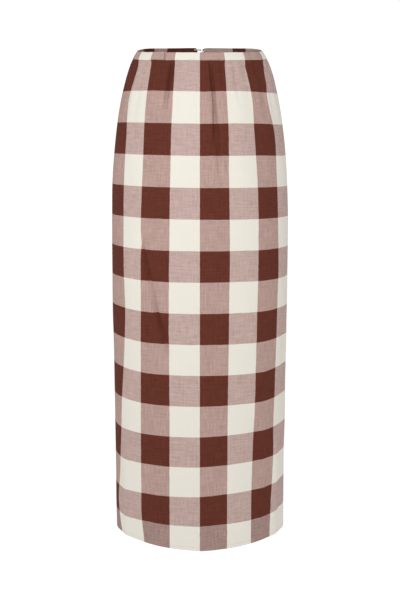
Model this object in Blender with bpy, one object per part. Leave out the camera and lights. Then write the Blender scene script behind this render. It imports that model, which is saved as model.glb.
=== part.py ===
"""Straight maxi skirt as it hangs filled out: a hollow cloth column under a narrow waistband.

Metres, +Z up. The front faces -Y. Left and right are the wearer's, so the wearer's left is +X. The origin
is the centre of the waistband's ring, where the wearer's waist holds the skirt up.
"""
import math

import bmesh
import bpy
import numpy as np
from mathutils import Matrix, Vector

# Driving sizes of the cloth
FRONT_LENGTH = 0.949       # centre front, from the waist seam to the hem
HEM_RISE = 0.017           # from the centres to the side seams, where the hips take up cloth
HEM_RISE_POWER = 1.3
WAIST_SLOPE = 0.117        # rise of the waistline towards the back, per metre
WAIST_CURVE = 0.17         # how much steeper that rise grows, per square metre
BAND_HEIGHT = 0.015
BAND_THICKNESS = 0.0022
BAND_PROUD = 0.0004        # how far the band stands out from the panels under it
CLOTH = 0.0015
SEAM_GAP = 0.0003

# The figure's sections, from the top of the band to the hem
SECTION_COLUMNS = ("height", "half_width", "front_depth", "back_depth", "roundness")
SECTIONS = (
    (0.0220, 0.1232, 0.1006, 0.0919, 2.00),
    (0.0075, 0.1255, 0.1035, 0.0965, 2.00),
    (-0.0075, 0.1342, 0.1070, 0.1010, 2.00),
    (-0.0380, 0.1455, 0.1165, 0.1100, 2.03),
    (-0.0680, 0.1533, 0.1240, 0.1180, 2.06),
    (-0.1280, 0.1644, 0.1345, 0.1310, 2.12),
    (-0.2180, 0.1741, 0.1430, 0.1420, 2.18),
    (-0.3580, 0.1782, 0.1475, 0.1430, 2.25),
    (-0.5380, 0.1778, 0.1500, 0.1390, 2.32),
    (-0.7380, 0.1757, 0.1520, 0.1370, 2.36),
    (-0.9700, 0.1750, 0.1535, 0.1380, 2.32),
)

# Folds. A turn is 0 at the centre front, 1 at the left side seam and 2 at the centre back, and negative on
# the right. start and end are drops below the waist seam. A negative depth is a trough.
FOLD_COLUMNS = ("turn_top", "turn_end", "start", "end", "half_width", "depth")
FOLDS = (
    (0.093, 0.130, 0.000, 0.200, 0.0060, -0.0034),
    (0.150, 0.190, 0.000, 0.260, 0.0110, 0.0016),
    (-0.285, -0.300, 0.000, 0.120, 0.0080, -0.0024),
    (-0.570, -0.590, 0.000, 0.150, 0.0070, -0.0020),
    (-0.700, -0.720, 0.000, 0.170, 0.0080, -0.0022),
    (0.580, 0.600, 0.000, 0.140, 0.0075, -0.0022),
    (0.700, 0.730, 0.000, 0.160, 0.0080, -0.0020),
    (-0.470, -0.250, 0.290, 0.570, 0.0120, -0.0032),
    (0.760, 0.780, 0.500, 0.700, 0.0140, -0.0024),
    (0.640, 0.640, 0.700, 1.100, 0.0150, 0.0034),
    (-0.630, -0.610, 0.740, 1.100, 0.0150, 0.0032),
    (1.330, 1.300, 0.000, 0.170, 0.0085, -0.0022),
    (1.700, 1.680, 0.000, 0.180, 0.0070, -0.0032),
    (-1.690, -1.660, 0.000, 0.160, 0.0070, -0.0030),
    (-1.360, -1.340, 0.000, 0.150, 0.0085, -0.0022),
    (-1.720, -1.450, 0.320, 0.600, 0.0130, -0.0030),
    (1.520, 1.560, 0.560, 1.100, 0.0180, 0.0036),
    (-1.350, -1.380, 0.640, 1.100, 0.0170, 0.0034),
)
FOLD_RISE = 0.22           # share of a fold's length in which it deepens
FOLD_FADE = 0.60           # share in which it dies away

# Mesh steps
FRONT_STEPS = 56
BACK_STEPS = 24
DOWN_STEPS = 24
DOWN_POWER = 1.25          # rows lie closer together near the waist
BAND_STEP_TURN = 0.055
TUCK_TURNS = (0.11, -0.29, 1.69, -1.675)
TUCK_SPREAD = 0.07
TUCK_CROWDING = 2.4

# The band's lap in the front, its ends at the back
LAP_TURN = -0.390          # the edge of the right strip, 70 mm from the centre front
LAP_UNDER = 0.045          # the left strip runs on under it
LAP_LIFT_START = 0.210
LAP_LIFT_END = 0.080
LAP_HANG = 0.0020          # the lapped edge hangs over the seam
BAND_BULGE = 0.0004
BACK_GAP = 0.0104
BAND_CORNER = 0.0060
BAND_CORNER_STEPS = 4
LAP_STEPS = 8
LAP_UNDER_STEPS = 4

# Closure
ZIP_LENGTH = 0.190
ZIP_TAPE_WIDTH = 0.0110
ZIP_TAPE_THICKNESS = 0.0008
ZIP_CHAIN_WIDTH = 0.0032
ZIP_CHAIN_THICKNESS = 0.0018
ZIP_ACROSS_STEPS = 3
ZIP_DOWN_STEPS = 8
SLIDER_WIDTH = 0.0056
SLIDER_REACH_DOWN = 0.0070
SLIDER_REACH_UP = 0.0040
SLIDER_PLATE = 0.0018
BRIDGE_WIDTH = 0.0022
BRIDGE_WALL = 0.0008
BRIDGE_WINDOW = 0.0021
PULL_AXIS_DROP = 0.0006      # below the waist seam
PULL_LENGTH = 0.0190
PULL_THICKNESS = 0.0010
PULL_TOP_WIDTH = 0.0046
PULL_END_WIDTH = 0.0062
PULL_EYE_WIDTH = 0.0032
PULL_EYE_HEIGHT = 0.0028
PULL_LEAN = math.radians(4.5)
HOOK_DROP = 0.0035         # below the band's top edge
WIRE_RADIUS = 0.00045
EYE_RADIUS = 0.0028
EYE_LEG = 0.0075
EYE_TIP = 0.0040            # where the loop begins to round off, in the gap
HOOK_STRIP = 0.0022
HOOK_THICKNESS = 0.0007
HOOK_FOOT = 0.0060
HOOK_BILL = 0.0022

BROWN = (0.126, 0.038, 0.027)
CREAM = (0.86, 0.83, 0.72)
ZIP_BROWN = (0.10, 0.035, 0.025)
STEEL = (0.62, 0.61, 0.59)

ARC_STEPS = np.linspace(0.0, math.pi / 2.0, 91)
NORMAL_STEP_TURN = 0.004
NORMAL_STEP_HEIGHT = 0.0015


def remove_objects():
    for item in list(bpy.data.objects):
        bpy.data.objects.remove(item, do_unlink=True)


def material(name, color, roughness, metallic=0.0):
    made = bpy.data.materials.new(name)
    made.use_nodes = True
    shader = made.node_tree.nodes["Principled BSDF"]
    shader.inputs["Base Color"].default_value = (*color, 1.0)
    shader.inputs["Roughness"].default_value = roughness
    shader.inputs["Metallic"].default_value = metallic
    made.diffuse_color = (*color, 1.0)
    return made


def smooth_step(value):
    share = np.clip(value, 0.0, 1.0)
    return share * share * (3.0 - 2.0 * share)


def section_value(column, height):
    """One column of SECTIONS at each height, on a smooth curve through the table's rows."""
    rows = np.array(SECTIONS[::-1])
    knots = rows[:, 0]
    values = rows[:, SECTION_COLUMNS.index(column)]
    slopes = np.gradient(values, knots)
    place = np.clip(height, knots[0], knots[-1])
    low = np.clip(np.searchsorted(knots, place) - 1, 0, len(knots) - 2)
    span = knots[low + 1] - knots[low]
    t = (place - knots[low]) / span
    return ((1 + 2 * t) * (1 - t) ** 2 * values[low] + t * (1 - t) ** 2 * span * slopes[low]
            + t * t * (3 - 2 * t) * values[low + 1] + t * t * (t - 1) * span * slopes[low + 1])


def section_points(turn, height):
    """Points x, y on the section at each height, and the arc from centre line to side seam."""
    turn = np.mod(turn + 2.0, 4.0) - 2.0
    away = np.abs(turn)
    front = away <= 1.0
    depth = np.where(front, section_value("front_depth", height), section_value("back_depth", height))
    power = (2.0 / section_value("roundness", height))[:, None]
    across = section_value("half_width", height)[:, None] * np.sin(ARC_STEPS) ** power
    outward = depth[:, None] * np.abs(np.cos(ARC_STEPS)) ** power
    steps = np.hypot(np.diff(across, axis=1), np.diff(outward, axis=1))
    arc = np.hstack([np.zeros((len(turn), 1)), np.cumsum(steps, axis=1)])
    walked = np.where(front, away, 2.0 - away) * arc[:, -1]
    x = np.array([np.interp(w, a, c) for w, a, c in zip(walked, arc, across)])
    y = np.array([np.interp(w, a, c) for w, a, c in zip(walked, arc, outward)])
    return x * np.sign(turn), np.where(front, -y, y), arc[:, -1]


def waistline_height(turn):
    """Height of the band's middle line at each turn."""
    height = np.zeros_like(turn)
    for _ in range(4):
        _, y, _ = section_points(turn, height)
        height = WAIST_SLOPE * y + WAIST_CURVE * y * y
    return height


def seam_height(turn):
    """Height of the seam between the band and the panels."""
    height = waistline_height(turn)
    for _ in range(3):
        _, y, _ = section_points(turn, height)
        height = WAIST_SLOPE * y + WAIST_CURVE * y * y - BAND_HEIGHT / 2.0
    return height


def hem_height(turn):
    """Height of the hem, which is lowest at the centre front and centre back."""
    lowest = float(seam_height(np.array([0.0]))[0]) - FRONT_LENGTH
    return lowest + HEM_RISE * np.abs(np.sin(turn * math.pi / 2.0)) ** HEM_RISE_POWER


def fold_offset(turn, height, quarter):
    """How far the folds carry the cloth outward."""
    drop = seam_height(turn) - height
    offset = np.zeros_like(turn)
    for row in FOLDS:
        fold = dict(zip(FOLD_COLUMNS, row))
        along = np.clip((drop - fold["start"]) / (fold["end"] - fold["start"]), 0.0, 1.0)
        centre = fold["turn_top"] + (fold["turn_end"] - fold["turn_top"]) * along
        away = (np.mod(turn - centre + 2.0, 4.0) - 2.0) * quarter
        strength = smooth_step(along / FOLD_RISE) * smooth_step((1.0 - along) / FOLD_FADE)
        offset += fold["depth"] * strength * np.exp(-(away / fold["half_width"]) ** 2)
    return offset


def cloth_points(turn, height):
    """Points of the outer face, with the folds."""
    x, y, quarter = section_points(turn, height)
    ahead_x, ahead_y, _ = section_points(turn + NORMAL_STEP_TURN, height)
    behind_x, behind_y, _ = section_points(turn - NORMAL_STEP_TURN, height)
    along_x, along_y = ahead_x - behind_x, ahead_y - behind_y
    length = np.hypot(along_x, along_y)
    offset = fold_offset(turn, height, quarter)
    return np.stack([x + along_y / length * offset, y - along_x / length * offset, height], axis=1)


def cloth_normals(turn, height):
    around = cloth_points(turn + NORMAL_STEP_TURN, height) - cloth_points(turn - NORMAL_STEP_TURN, height)
    upward = cloth_points(turn, height + NORMAL_STEP_HEIGHT) - cloth_points(turn, height - NORMAL_STEP_HEIGHT)
    normal = np.cross(around, upward)
    return normal / np.linalg.norm(normal, axis=1)[:, None]


def wall(name, turns, heights, lift, thickness, paint):
    """A closed wall: turns and heights are grids, lift raises its outer face from the cloth's outer face."""
    shape = turns.shape
    points = cloth_points(turns.ravel(), heights.ravel())
    normals = cloth_normals(turns.ravel(), heights.ravel())
    lift = np.broadcast_to(lift, shape).ravel()[:, None]
    thickness = np.broadcast_to(thickness, shape).ravel()[:, None]
    outer = points + normals * lift
    inner = points + normals * (lift - thickness)
    rows, columns = shape
    count = rows * columns
    faces = []
    for r in range(rows - 1):
        for c in range(columns - 1):
            corner = r * columns + c
            quad = (corner, corner + 1, corner + columns + 1, corner + columns)
            faces.append(quad)
            faces.append(tuple(count + index for index in reversed(quad)))
    rim = [(0, c) for c in range(columns)] + [(r, columns - 1) for r in range(1, rows)]
    rim += [(rows - 1, c) for c in range(columns - 2, -1, -1)] + [(r, 0) for r in range(rows - 2, 0, -1)]
    edge = [r * columns + c for r, c in rim]
    for here, there in zip(edge, edge[1:] + edge[:1]):
        faces.append((there, here, count + here, count + there))
    mesh = bpy.data.meshes.new(name)
    mesh.from_pydata([tuple(p) for p in np.vstack([outer, inner])], [], faces)
    return finished(name, mesh, paint)


def finished(name, mesh, paint, place=None):
    """Turns a mesh's faces outward and makes it a smooth-shaded object."""
    shape = bmesh.new()
    shape.from_mesh(mesh)
    bmesh.ops.recalc_face_normals(shape, faces=shape.faces)
    shape.to_mesh(mesh)
    shape.free()
    mesh.shade_smooth()
    mesh.set_sharp_from_angle(angle=math.radians(40.0))
    mesh.materials.append(paint)
    item = bpy.data.objects.new(name, mesh)
    bpy.context.scene.collection.objects.link(item)
    if place is not None:
        item.matrix_world = place
    return item


def crowded_turns(first, last, steps):
    """Turns from first to last that lie closer together at the tucks."""
    fine = np.linspace(first, last, 801)
    density = np.ones_like(fine)
    for tuck in TUCK_TURNS:
        density += TUCK_CROWDING * np.exp(-((fine - tuck) / TUCK_SPREAD) ** 2)
    run = np.concatenate([[0.0], np.cumsum((density[1:] + density[:-1]) / 2.0)])
    return np.interp(np.linspace(0.0, run[-1], steps + 1), run, fine)


def seam_turn(turn, side):
    """A panel's edge, half a seam gap short of the turn; side is -1 before it and 1 after it."""
    _, _, quarter = section_points(np.array([turn]), np.array([-FRONT_LENGTH / 2.0]))
    return turn + side * SEAM_GAP / 2.0 / quarter[0]


def panel(name, first, last, steps, paint):
    """A panel of the skirt from the waist seam to the hem."""
    across = crowded_turns(seam_turn(first, 1.0), seam_turn(last, -1.0), steps)
    down = np.linspace(1.0, 0.0, DOWN_STEPS + 1) ** DOWN_POWER
    top = seam_height(across) - SEAM_GAP
    turns = np.tile(across, (len(down), 1))
    heights = top[None, :] * (1.0 - down[:, None]) + hem_height(across)[None, :] * down[:, None]
    return wall(name, turns, heights, 0.0, CLOTH, paint)


def band_turns(first, last):
    steps = max(2, round(abs(last - first) / BAND_STEP_TURN))
    return np.linspace(first, last, steps + 1)


def band_arc():
    """Quarter arcs of the band's middle line, in front and at the back."""
    _, _, quarters = section_points(np.array([0.0, 2.0]), np.array([0.0, 0.0]))
    return quarters


def band_strip(name, turns, lift, thickness, hang, corner_at, paint):
    """A strip of the band; hang lowers its bottom edge, corner_at is the turn of its rounded end."""
    bottom = seam_height(turns) - hang
    top = seam_height(turns) + BAND_HEIGHT
    _, back_quarter = band_arc()
    from_end = np.abs(turns - corner_at) * back_quarter
    inside = np.clip(BAND_CORNER - from_end, 0.0, BAND_CORNER)
    top = top - (BAND_CORNER - np.sqrt(BAND_CORNER ** 2 - inside ** 2))
    ups = np.array([0.0, 0.5, 1.0])
    heights = bottom[None, :] * (1.0 - ups[:, None]) + top[None, :] * ups[:, None]
    bulge = BAND_BULGE * np.sin(math.pi * ups)[:, None]
    grid = np.tile(turns, (len(ups), 1))
    return wall(name, grid, heights, BAND_PROUD + lift[None, :] + bulge, thickness[None, :], paint)


def corner_turns(end, side):
    """Close turns for the rounded corner at a strip's back end."""
    _, back_quarter = band_arc()
    angles = np.radians(np.linspace(0.0, 90.0, BAND_CORNER_STEPS + 1))
    return end + side * BAND_CORNER * (1.0 - np.cos(angles)) / back_quarter


def waistband_left(paint):
    """The strip from under the front lap, across the centre front, to the left end at the centre back."""
    _, back_quarter = band_arc()
    end = 2.0 - BACK_GAP / 2.0 / back_quarter
    corner = corner_turns(end, -1.0)[::-1]
    turns = np.concatenate([band_turns(LAP_TURN - LAP_UNDER, corner[0])[:-1], corner])
    nothing = np.zeros_like(turns)
    return band_strip("waistband_left", turns, nothing, nothing + BAND_THICKNESS, nothing, end, paint)


def waistband_right(paint):
    """The strip from the right end at the centre back to the lap in the front, which lies on the left strip.

    It thickens towards the lap, and its inner face then steps out, to make room for the left strip's end.
    """
    front_quarter, back_quarter = band_arc()
    end = -2.0 + BACK_GAP / 2.0 / back_quarter
    corner = corner_turns(end, 1.0)
    room = LAP_TURN - LAP_UNDER - SEAM_GAP / front_quarter
    step = room - SEAM_GAP / front_quarter
    start = LAP_TURN - LAP_LIFT_START
    lap_turns = [np.linspace(start, step, LAP_STEPS + 1), np.linspace(room, LAP_TURN, LAP_UNDER_STEPS + 1)]
    turns = np.concatenate([corner, band_turns(corner[-1], start)[1:-1], *lap_turns])
    lift = (BAND_THICKNESS + 2.0 * SEAM_GAP) * smooth_step((turns - start) / (LAP_LIFT_START - LAP_LIFT_END))
    thickness = BAND_THICKNESS + np.where(turns < room, lift, 0.0)
    hang = LAP_HANG * smooth_step((turns - room) / LAP_UNDER)
    return band_strip("waistband_right", turns, lift, thickness, hang, end, paint)


def zip_strip(name, near, far, top_drop, length, lift, thickness, paint):
    """An upright strip inside the centre back, between two distances from the seam (+ is the left side)."""
    back = np.array([2.0])
    _, _, quarter = section_points(back, seam_height(back) - length / 2.0)
    across = 2.0 - np.linspace(near, far, ZIP_ACROSS_STEPS + 1) / quarter[0]
    down = np.linspace(1.0, 0.0, ZIP_DOWN_STEPS + 1)
    top = float(seam_height(back)[0]) - top_drop
    turns = np.tile(across, (len(down), 1))
    heights = np.repeat((top - length * down)[:, None], len(across), axis=1)
    return wall(name, turns, heights, lift, thickness, paint)


def back_frame(height):
    """Axes on the cloth's outer face at the centre back: X across, Y out of the cloth, Z up along it."""
    turn = np.array([2.0])
    point = Vector(cloth_points(turn, height)[0])
    normal = cloth_normals(turn, height)[0]
    across = Vector((1.0, 0.0, 0.0))
    out = Vector((0.0, normal[1], normal[2])).normalized()
    frame = Matrix((across, out, across.cross(out))).transposed().to_4x4()
    frame.translation = point
    return frame


def prism(outline, axis, low, high):
    """A mesh from an outline pulled along an axis, 0 for X and 2 for Z."""
    def vertex(point, depth):
        return (depth, *point) if axis == 0 else (*point, depth)
    count = len(outline)
    vertices = [vertex(p, low) for p in outline] + [vertex(p, high) for p in outline]
    faces = [tuple(range(count)), tuple(range(2 * count - 1, count - 1, -1))]
    for i in range(count):
        j = (i + 1) % count
        faces.append((i, j, count + j, count + i))
    mesh = bpy.data.meshes.new("prism")
    mesh.from_pydata(vertices, [], faces)
    return mesh


def rectangle(low_y, high_y, low_z, high_z):
    return [(low_y, low_z), (high_y, low_z), (high_y, high_z), (low_y, high_z)]


def pull_axis():
    """Distance of the pull's axis out from the cloth, and its height above the seam."""
    return SEAM_GAP * 2.0 + BRIDGE_WALL + BRIDGE_WINDOW / 2.0, -PULL_AXIS_DROP


def zip_slider(frame, paint):
    """The slider's plate inside the seam, its neck over the panels' top edge, and its bridge outside."""
    axis_y, axis_z = pull_axis()
    plate_out = -(CLOTH + 2.0 * SEAM_GAP + ZIP_TAPE_THICKNESS)
    foot = rectangle(plate_out - SLIDER_PLATE, plate_out, -SLIDER_REACH_DOWN, SLIDER_REACH_UP)
    neck_low = SEAM_GAP * 2.0
    half = BRIDGE_WINDOW / 2.0
    inner = axis_y - half - BRIDGE_WALL
    outer = axis_y + half + BRIDGE_WALL
    low = axis_z - half - BRIDGE_WALL
    high = SLIDER_REACH_UP
    deep = plate_out - SLIDER_PLATE / 2.0
    outline = [(deep, neck_low), (inner, neck_low), (inner, low), (outer, low),
               (outer, axis_z + half + BRIDGE_WALL), (inner + BRIDGE_WALL, high), (deep, high)]
    body = finished("zip_slider", prism(foot, 0, -SLIDER_WIDTH / 2.0, SLIDER_WIDTH / 2.0), paint, frame)
    loop = prism(outline, 0, -BRIDGE_WIDTH / 2.0, BRIDGE_WIDTH / 2.0)
    bridge = finished("slider_bridge", loop, paint, frame)
    window = rectangle(axis_y - half, axis_y + half, axis_z - half, axis_z + half)
    cutter = finished("slider_window", prism(window, 0, -BRIDGE_WIDTH, BRIDGE_WIDTH), paint, frame)
    boolean(body, bridge, "UNION")
    boolean(body, cutter, "DIFFERENCE")
    return body


def boolean(item, other, operation):
    step = item.modifiers.new(operation.lower(), "BOOLEAN")
    step.operation = operation
    step.solver = "EXACT"
    step.object = other
    other.hide_render = True
    other.display_type = "WIRE"


def zip_pull(frame, paint):
    """The pull tab: a tapered plate whose top bar turns in the slider's bridge."""
    axis_y, axis_z = pull_axis()
    half_top, half_end, half_eye = PULL_TOP_WIDTH / 2.0, PULL_END_WIDTH / 2.0, PULL_EYE_WIDTH / 2.0
    top = PULL_THICKNESS / 2.0
    eye_low = -top - PULL_EYE_HEIGHT
    round_centre = -PULL_LENGTH + half_end
    arc = [(half_end * math.sin(a), round_centre - half_end * math.cos(a))
           for a in np.radians(np.linspace(-90.0, 90.0, 9))]
    outline = [(-half_top, top), (-half_top, eye_low)] + arc + [(half_top, eye_low), (half_top, top)]
    plate = prism(outline, 2, -PULL_THICKNESS / 2.0, PULL_THICKNESS / 2.0)
    eye = prism([(-half_eye, eye_low), (half_eye, eye_low), (half_eye, -top), (-half_eye, -top)], 2,
                -PULL_THICKNESS, PULL_THICKNESS)
    # The outlines are drawn in X and Z, so the plates are turned up from the XY plane.
    stand = Matrix.Rotation(math.radians(90.0), 4, "X")
    place = frame @ Matrix.Translation((0.0, axis_y, axis_z)) @ Matrix.Rotation(-PULL_LEAN, 4, "X")
    plate.transform(stand)
    eye.transform(stand)
    pull = finished("zip_pull", plate, paint, place)
    boolean(pull, finished("pull_eye", eye, paint, place), "DIFFERENCE")
    return pull


def closure_frame():
    """Axes on the band's inner face at the centre back, near its top: X across, Y out, Z up."""
    height = seam_height(np.array([2.0])) + BAND_HEIGHT - HOOK_DROP
    return back_frame(height) @ Matrix.Translation((0.0, BAND_PROUD - BAND_THICKNESS, 0.0))


def band_curve(x):
    """How far the band's inner face has curved away from its tangent at the centre back."""
    height = np.array([0.0])
    radius = section_value("half_width", height)[0] ** 2 / section_value("back_depth", height)[0]
    return -x * x / (2.0 * radius)


def wire_eye(frame, paint):
    """The eye: a wire loop on the left end's inner face, its round reaching into the gap."""
    curve = bpy.data.curves.new("eye", "CURVE")
    curve.dimensions = "3D"
    curve.bevel_depth = WIRE_RADIUS
    curve.bevel_resolution = 2
    curve.use_fill_caps = True
    clear = SEAM_GAP + WIRE_RADIUS
    legs = np.linspace(EYE_LEG, 0.0, 5)[:-1]
    angles = np.radians(np.linspace(90.0, 270.0, 9))
    flat = [(EYE_TIP + leg, EYE_RADIUS) for leg in legs]
    flat += [(EYE_TIP + EYE_RADIUS * math.cos(a), EYE_RADIUS * math.sin(a)) for a in angles]
    flat += [(EYE_TIP + leg, -EYE_RADIUS) for leg in legs[::-1]]
    spline = curve.splines.new("POLY")
    spline.points.add(len(flat) - 1)
    for point, (x, z) in zip(spline.points, flat):
        point.co = (x, band_curve(x) - clear, z, 1.0)
    curve.materials.append(paint)
    item = bpy.data.objects.new("eye", curve)
    item.matrix_world = frame
    bpy.context.scene.collection.objects.link(item)
    return item


def hook(frame, paint):
    """The hook: a flat strip from the right end's inner face whose bill turns round the eye's wire."""
    wire = Vector((EYE_TIP - EYE_RADIUS, -(SEAM_GAP + WIRE_RADIUS)))
    reach = WIRE_RADIUS + SEAM_GAP + HOOK_THICKNESS / 2.0
    foot_x = -BACK_GAP / 2.0 - np.linspace(HOOK_FOOT, 0.0, 4)
    foot = [Vector((x, band_curve(x) - SEAM_GAP - HOOK_THICKNESS / 2.0)) for x in foot_x]
    angles = np.radians(np.linspace(0.0, 180.0, 9))
    bend = [wire + reach * Vector((math.sin(a), -math.cos(a))) for a in angles]
    bill = [wire + Vector((-HOOK_BILL, reach))]
    middle = foot + bend + bill
    left, right = [], []
    for i, point in enumerate(middle):
        ahead = middle[min(i + 1, len(middle) - 1)] - middle[max(i - 1, 0)]
        normal = Vector((-ahead.y, ahead.x)).normalized() * HOOK_THICKNESS / 2.0
        left.append(tuple(point + normal))
        right.append(tuple(point - normal))
    outline = left + right[::-1]
    return finished("hook", prism(outline, 2, -HOOK_STRIP / 2.0, HOOK_STRIP / 2.0), paint, frame)


def build():
    remove_objects()
    cloth = material("gingham_cloth", BROWN, 0.85)
    band = material("band_cloth", CREAM, 0.85)
    tape = material("zip_tape", ZIP_BROWN, 0.8)
    metal = material("painted_metal", ZIP_BROWN, 0.45, 0.2)
    steel = material("bright_steel", STEEL, 0.3, 1.0)
    panel("front_panel", -1.0, 1.0, FRONT_STEPS, cloth)
    panel("back_panel_left", 1.0, 2.0, BACK_STEPS, cloth)
    panel("back_panel_right", -2.0, -1.0, BACK_STEPS, cloth)
    waistband_left(band)
    waistband_right(band)
    inside = -(CLOTH + SEAM_GAP)
    near = ZIP_CHAIN_WIDTH / 2.0 + SEAM_GAP
    for side, start, end in (("left", ZIP_TAPE_WIDTH, near), ("right", -near, -ZIP_TAPE_WIDTH)):
        zip_strip(f"zip_tape_{side}", start, end, SEAM_GAP, ZIP_LENGTH, inside, ZIP_TAPE_THICKNESS, tape)
    zip_strip("zip_chain", ZIP_CHAIN_WIDTH / 2.0, -ZIP_CHAIN_WIDTH / 2.0, SLIDER_REACH_DOWN + SEAM_GAP,
              ZIP_LENGTH - SLIDER_REACH_DOWN, inside, ZIP_CHAIN_THICKNESS, metal)
    frame = back_frame(seam_height(np.array([2.0])))
    zip_slider(frame, metal)
    zip_pull(frame, metal)
    wire_eye(closure_frame(), steel)
    hook(closure_frame(), steel)


build()
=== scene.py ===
"""Looks of a straight gingham maxi skirt that hangs filled out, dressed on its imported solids.

Metres, +Z up, the front faces -Y, the wearer's left is +X. A turn runs round the skirt: 0 at the centre
front, 1 at the left side seam, 2 at the centre back, and negative on the right. A drop is measured down from
the seam between waistband and skirt at the centre front.
"""
import math

import bpy
import numpy as np
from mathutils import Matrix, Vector


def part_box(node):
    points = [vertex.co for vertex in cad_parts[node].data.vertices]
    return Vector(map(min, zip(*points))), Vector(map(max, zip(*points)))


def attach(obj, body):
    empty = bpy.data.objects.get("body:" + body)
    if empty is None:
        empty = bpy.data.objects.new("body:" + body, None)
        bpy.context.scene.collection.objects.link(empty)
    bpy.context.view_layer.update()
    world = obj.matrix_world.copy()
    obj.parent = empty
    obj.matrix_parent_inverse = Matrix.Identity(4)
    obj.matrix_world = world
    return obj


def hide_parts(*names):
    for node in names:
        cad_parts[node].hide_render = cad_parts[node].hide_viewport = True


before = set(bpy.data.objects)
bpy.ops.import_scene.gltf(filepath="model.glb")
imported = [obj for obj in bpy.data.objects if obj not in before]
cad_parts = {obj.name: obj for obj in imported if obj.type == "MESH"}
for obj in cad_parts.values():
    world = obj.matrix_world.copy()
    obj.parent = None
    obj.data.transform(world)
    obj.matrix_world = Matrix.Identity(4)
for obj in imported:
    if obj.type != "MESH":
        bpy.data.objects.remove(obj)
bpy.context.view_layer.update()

# The camera, at the photograph's place
IMAGE_HEIGHT = 600
FOCAL_PIXELS = 1039.24
SENSOR = 36.0
CAMERA_PLACE = (0.00025, -2.1, -0.1538)
CAMERA_PITCH = math.radians(9.0926)

# The garment's sizes
FRONT_LENGTH = 0.949
HEM_RISE = 0.0155
HEM_RISE_POWER = 1.3
HEM_CORNER = 0.0105        # the hem hangs lower just at the side seams
HEM_CORNER_TURN = 0.24
WAIST_SLOPE = 0.117
WAIST_CURVE = 0.17
WAIST_LIFT = 0.0020        # the waistline stands a little higher just behind the side seams
WAIST_LIFT_TURN = (1.25, 0.28)
SEAM_ROUNDS = 6            # its height depends on the depth there, and that on it
EASED_UP = 0.0018          # the seam under the band shows a little higher round the centre front
EASED_TURN = (0.02, 0.42)
BAND_HEIGHT = 0.015
BAND_THICKNESS = 0.0022
BAND_PROUD = 0.0004
SEAM_GAP = 0.0003
CLOTH = 0.0007             # one layer of the cotton
HEM_DEPTH = 0.008          # the hem's turning, a second layer inside
HEM_LAYER = 0.0006
HEM_LAYER_EDGE = 0.0015    # height over which the turning's edge shows
SEAM_ROLL = 0.0009         # how far the cloth rolls in at a seam
SEAM_ROLL_WIDTH = 0.0028
SEAM_CLEAR = 0.00006       # the panels meet here, a hair apart
SEAM_ALLOWANCE = 0.011     # pressed open inside, a second layer beside each seam
SEAM_LAYER = 0.0005
SEAM_LAYER_EDGE = 0.0012
SHARP_EDGE = math.radians(50.0)

# The figure's sections, from the top of the band to the hem
SECTION_COLUMNS = ("height", "half_width", "front_depth", "back_depth", "roundness")
SECTIONS = (
    (0.0220, 0.1204, 0.1006, 0.0919, 2.00),
    (0.0075, 0.1226, 0.1035, 0.0965, 2.00),
    (-0.0075, 0.1313, 0.1070, 0.1010, 2.00),
    (-0.0380, 0.1432, 0.1165, 0.1100, 2.03),
    (-0.0680, 0.1513, 0.1240, 0.1180, 2.06),
    (-0.1280, 0.1630, 0.1345, 0.1310, 2.12),
    (-0.2180, 0.1733, 0.1430, 0.1420, 2.18),
    (-0.3580, 0.1772, 0.1475, 0.1430, 2.25),
    (-0.5380, 0.1769, 0.1500, 0.1390, 2.32),
    (-0.7380, 0.1752, 0.1520, 0.1370, 2.36),
    (-0.9700, 0.1750, 0.1535, 0.1380, 2.32),
)

# The large folds, as in the solids. Start and end are drops, half width and depth are in millimetres, and a
# negative depth is a trough.
MILLIMETRE = 0.001
FOLD_COLUMNS = ("turn_top", "turn_end", "start", "end", "half_width", "depth")
LARGE_FOLDS = (
    (0.150, 0.190, 0.000, 0.260, 11.0, 1.6),
    (-0.285, -0.300, 0.000, 0.120, 8.0, -2.4),
    (-0.570, -0.590, 0.000, 0.150, 7.0, -2.0),
    (-0.700, -0.720, 0.000, 0.170, 8.0, -2.2),
    (0.580, 0.600, 0.000, 0.140, 7.5, -2.2),
    (0.700, 0.730, 0.000, 0.160, 8.0, -2.0),
    (-0.470, -0.250, 0.290, 0.570, 12.0, -3.2),
    (0.760, 0.780, 0.500, 0.700, 14.0, -2.4),
    (0.640, 0.640, 0.700, 1.100, 15.0, 3.4),
    (-0.630, -0.610, 0.740, 1.100, 15.0, 3.2),
    (1.330, 1.300, 0.000, 0.170, 8.5, -2.2),
    (1.700, 1.680, 0.000, 0.180, 7.0, -3.2),
    (-1.690, -1.660, 0.000, 0.160, 7.0, -3.0),
    (-1.360, -1.340, 0.000, 0.150, 8.5, -2.2),
    (-1.720, -1.450, 0.320, 0.600, 13.0, -3.0),
    (1.520, 1.560, 0.560, 1.100, 18.0, 3.6),
    (-1.350, -1.380, 0.640, 1.100, 17.0, 3.4),
)
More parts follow.
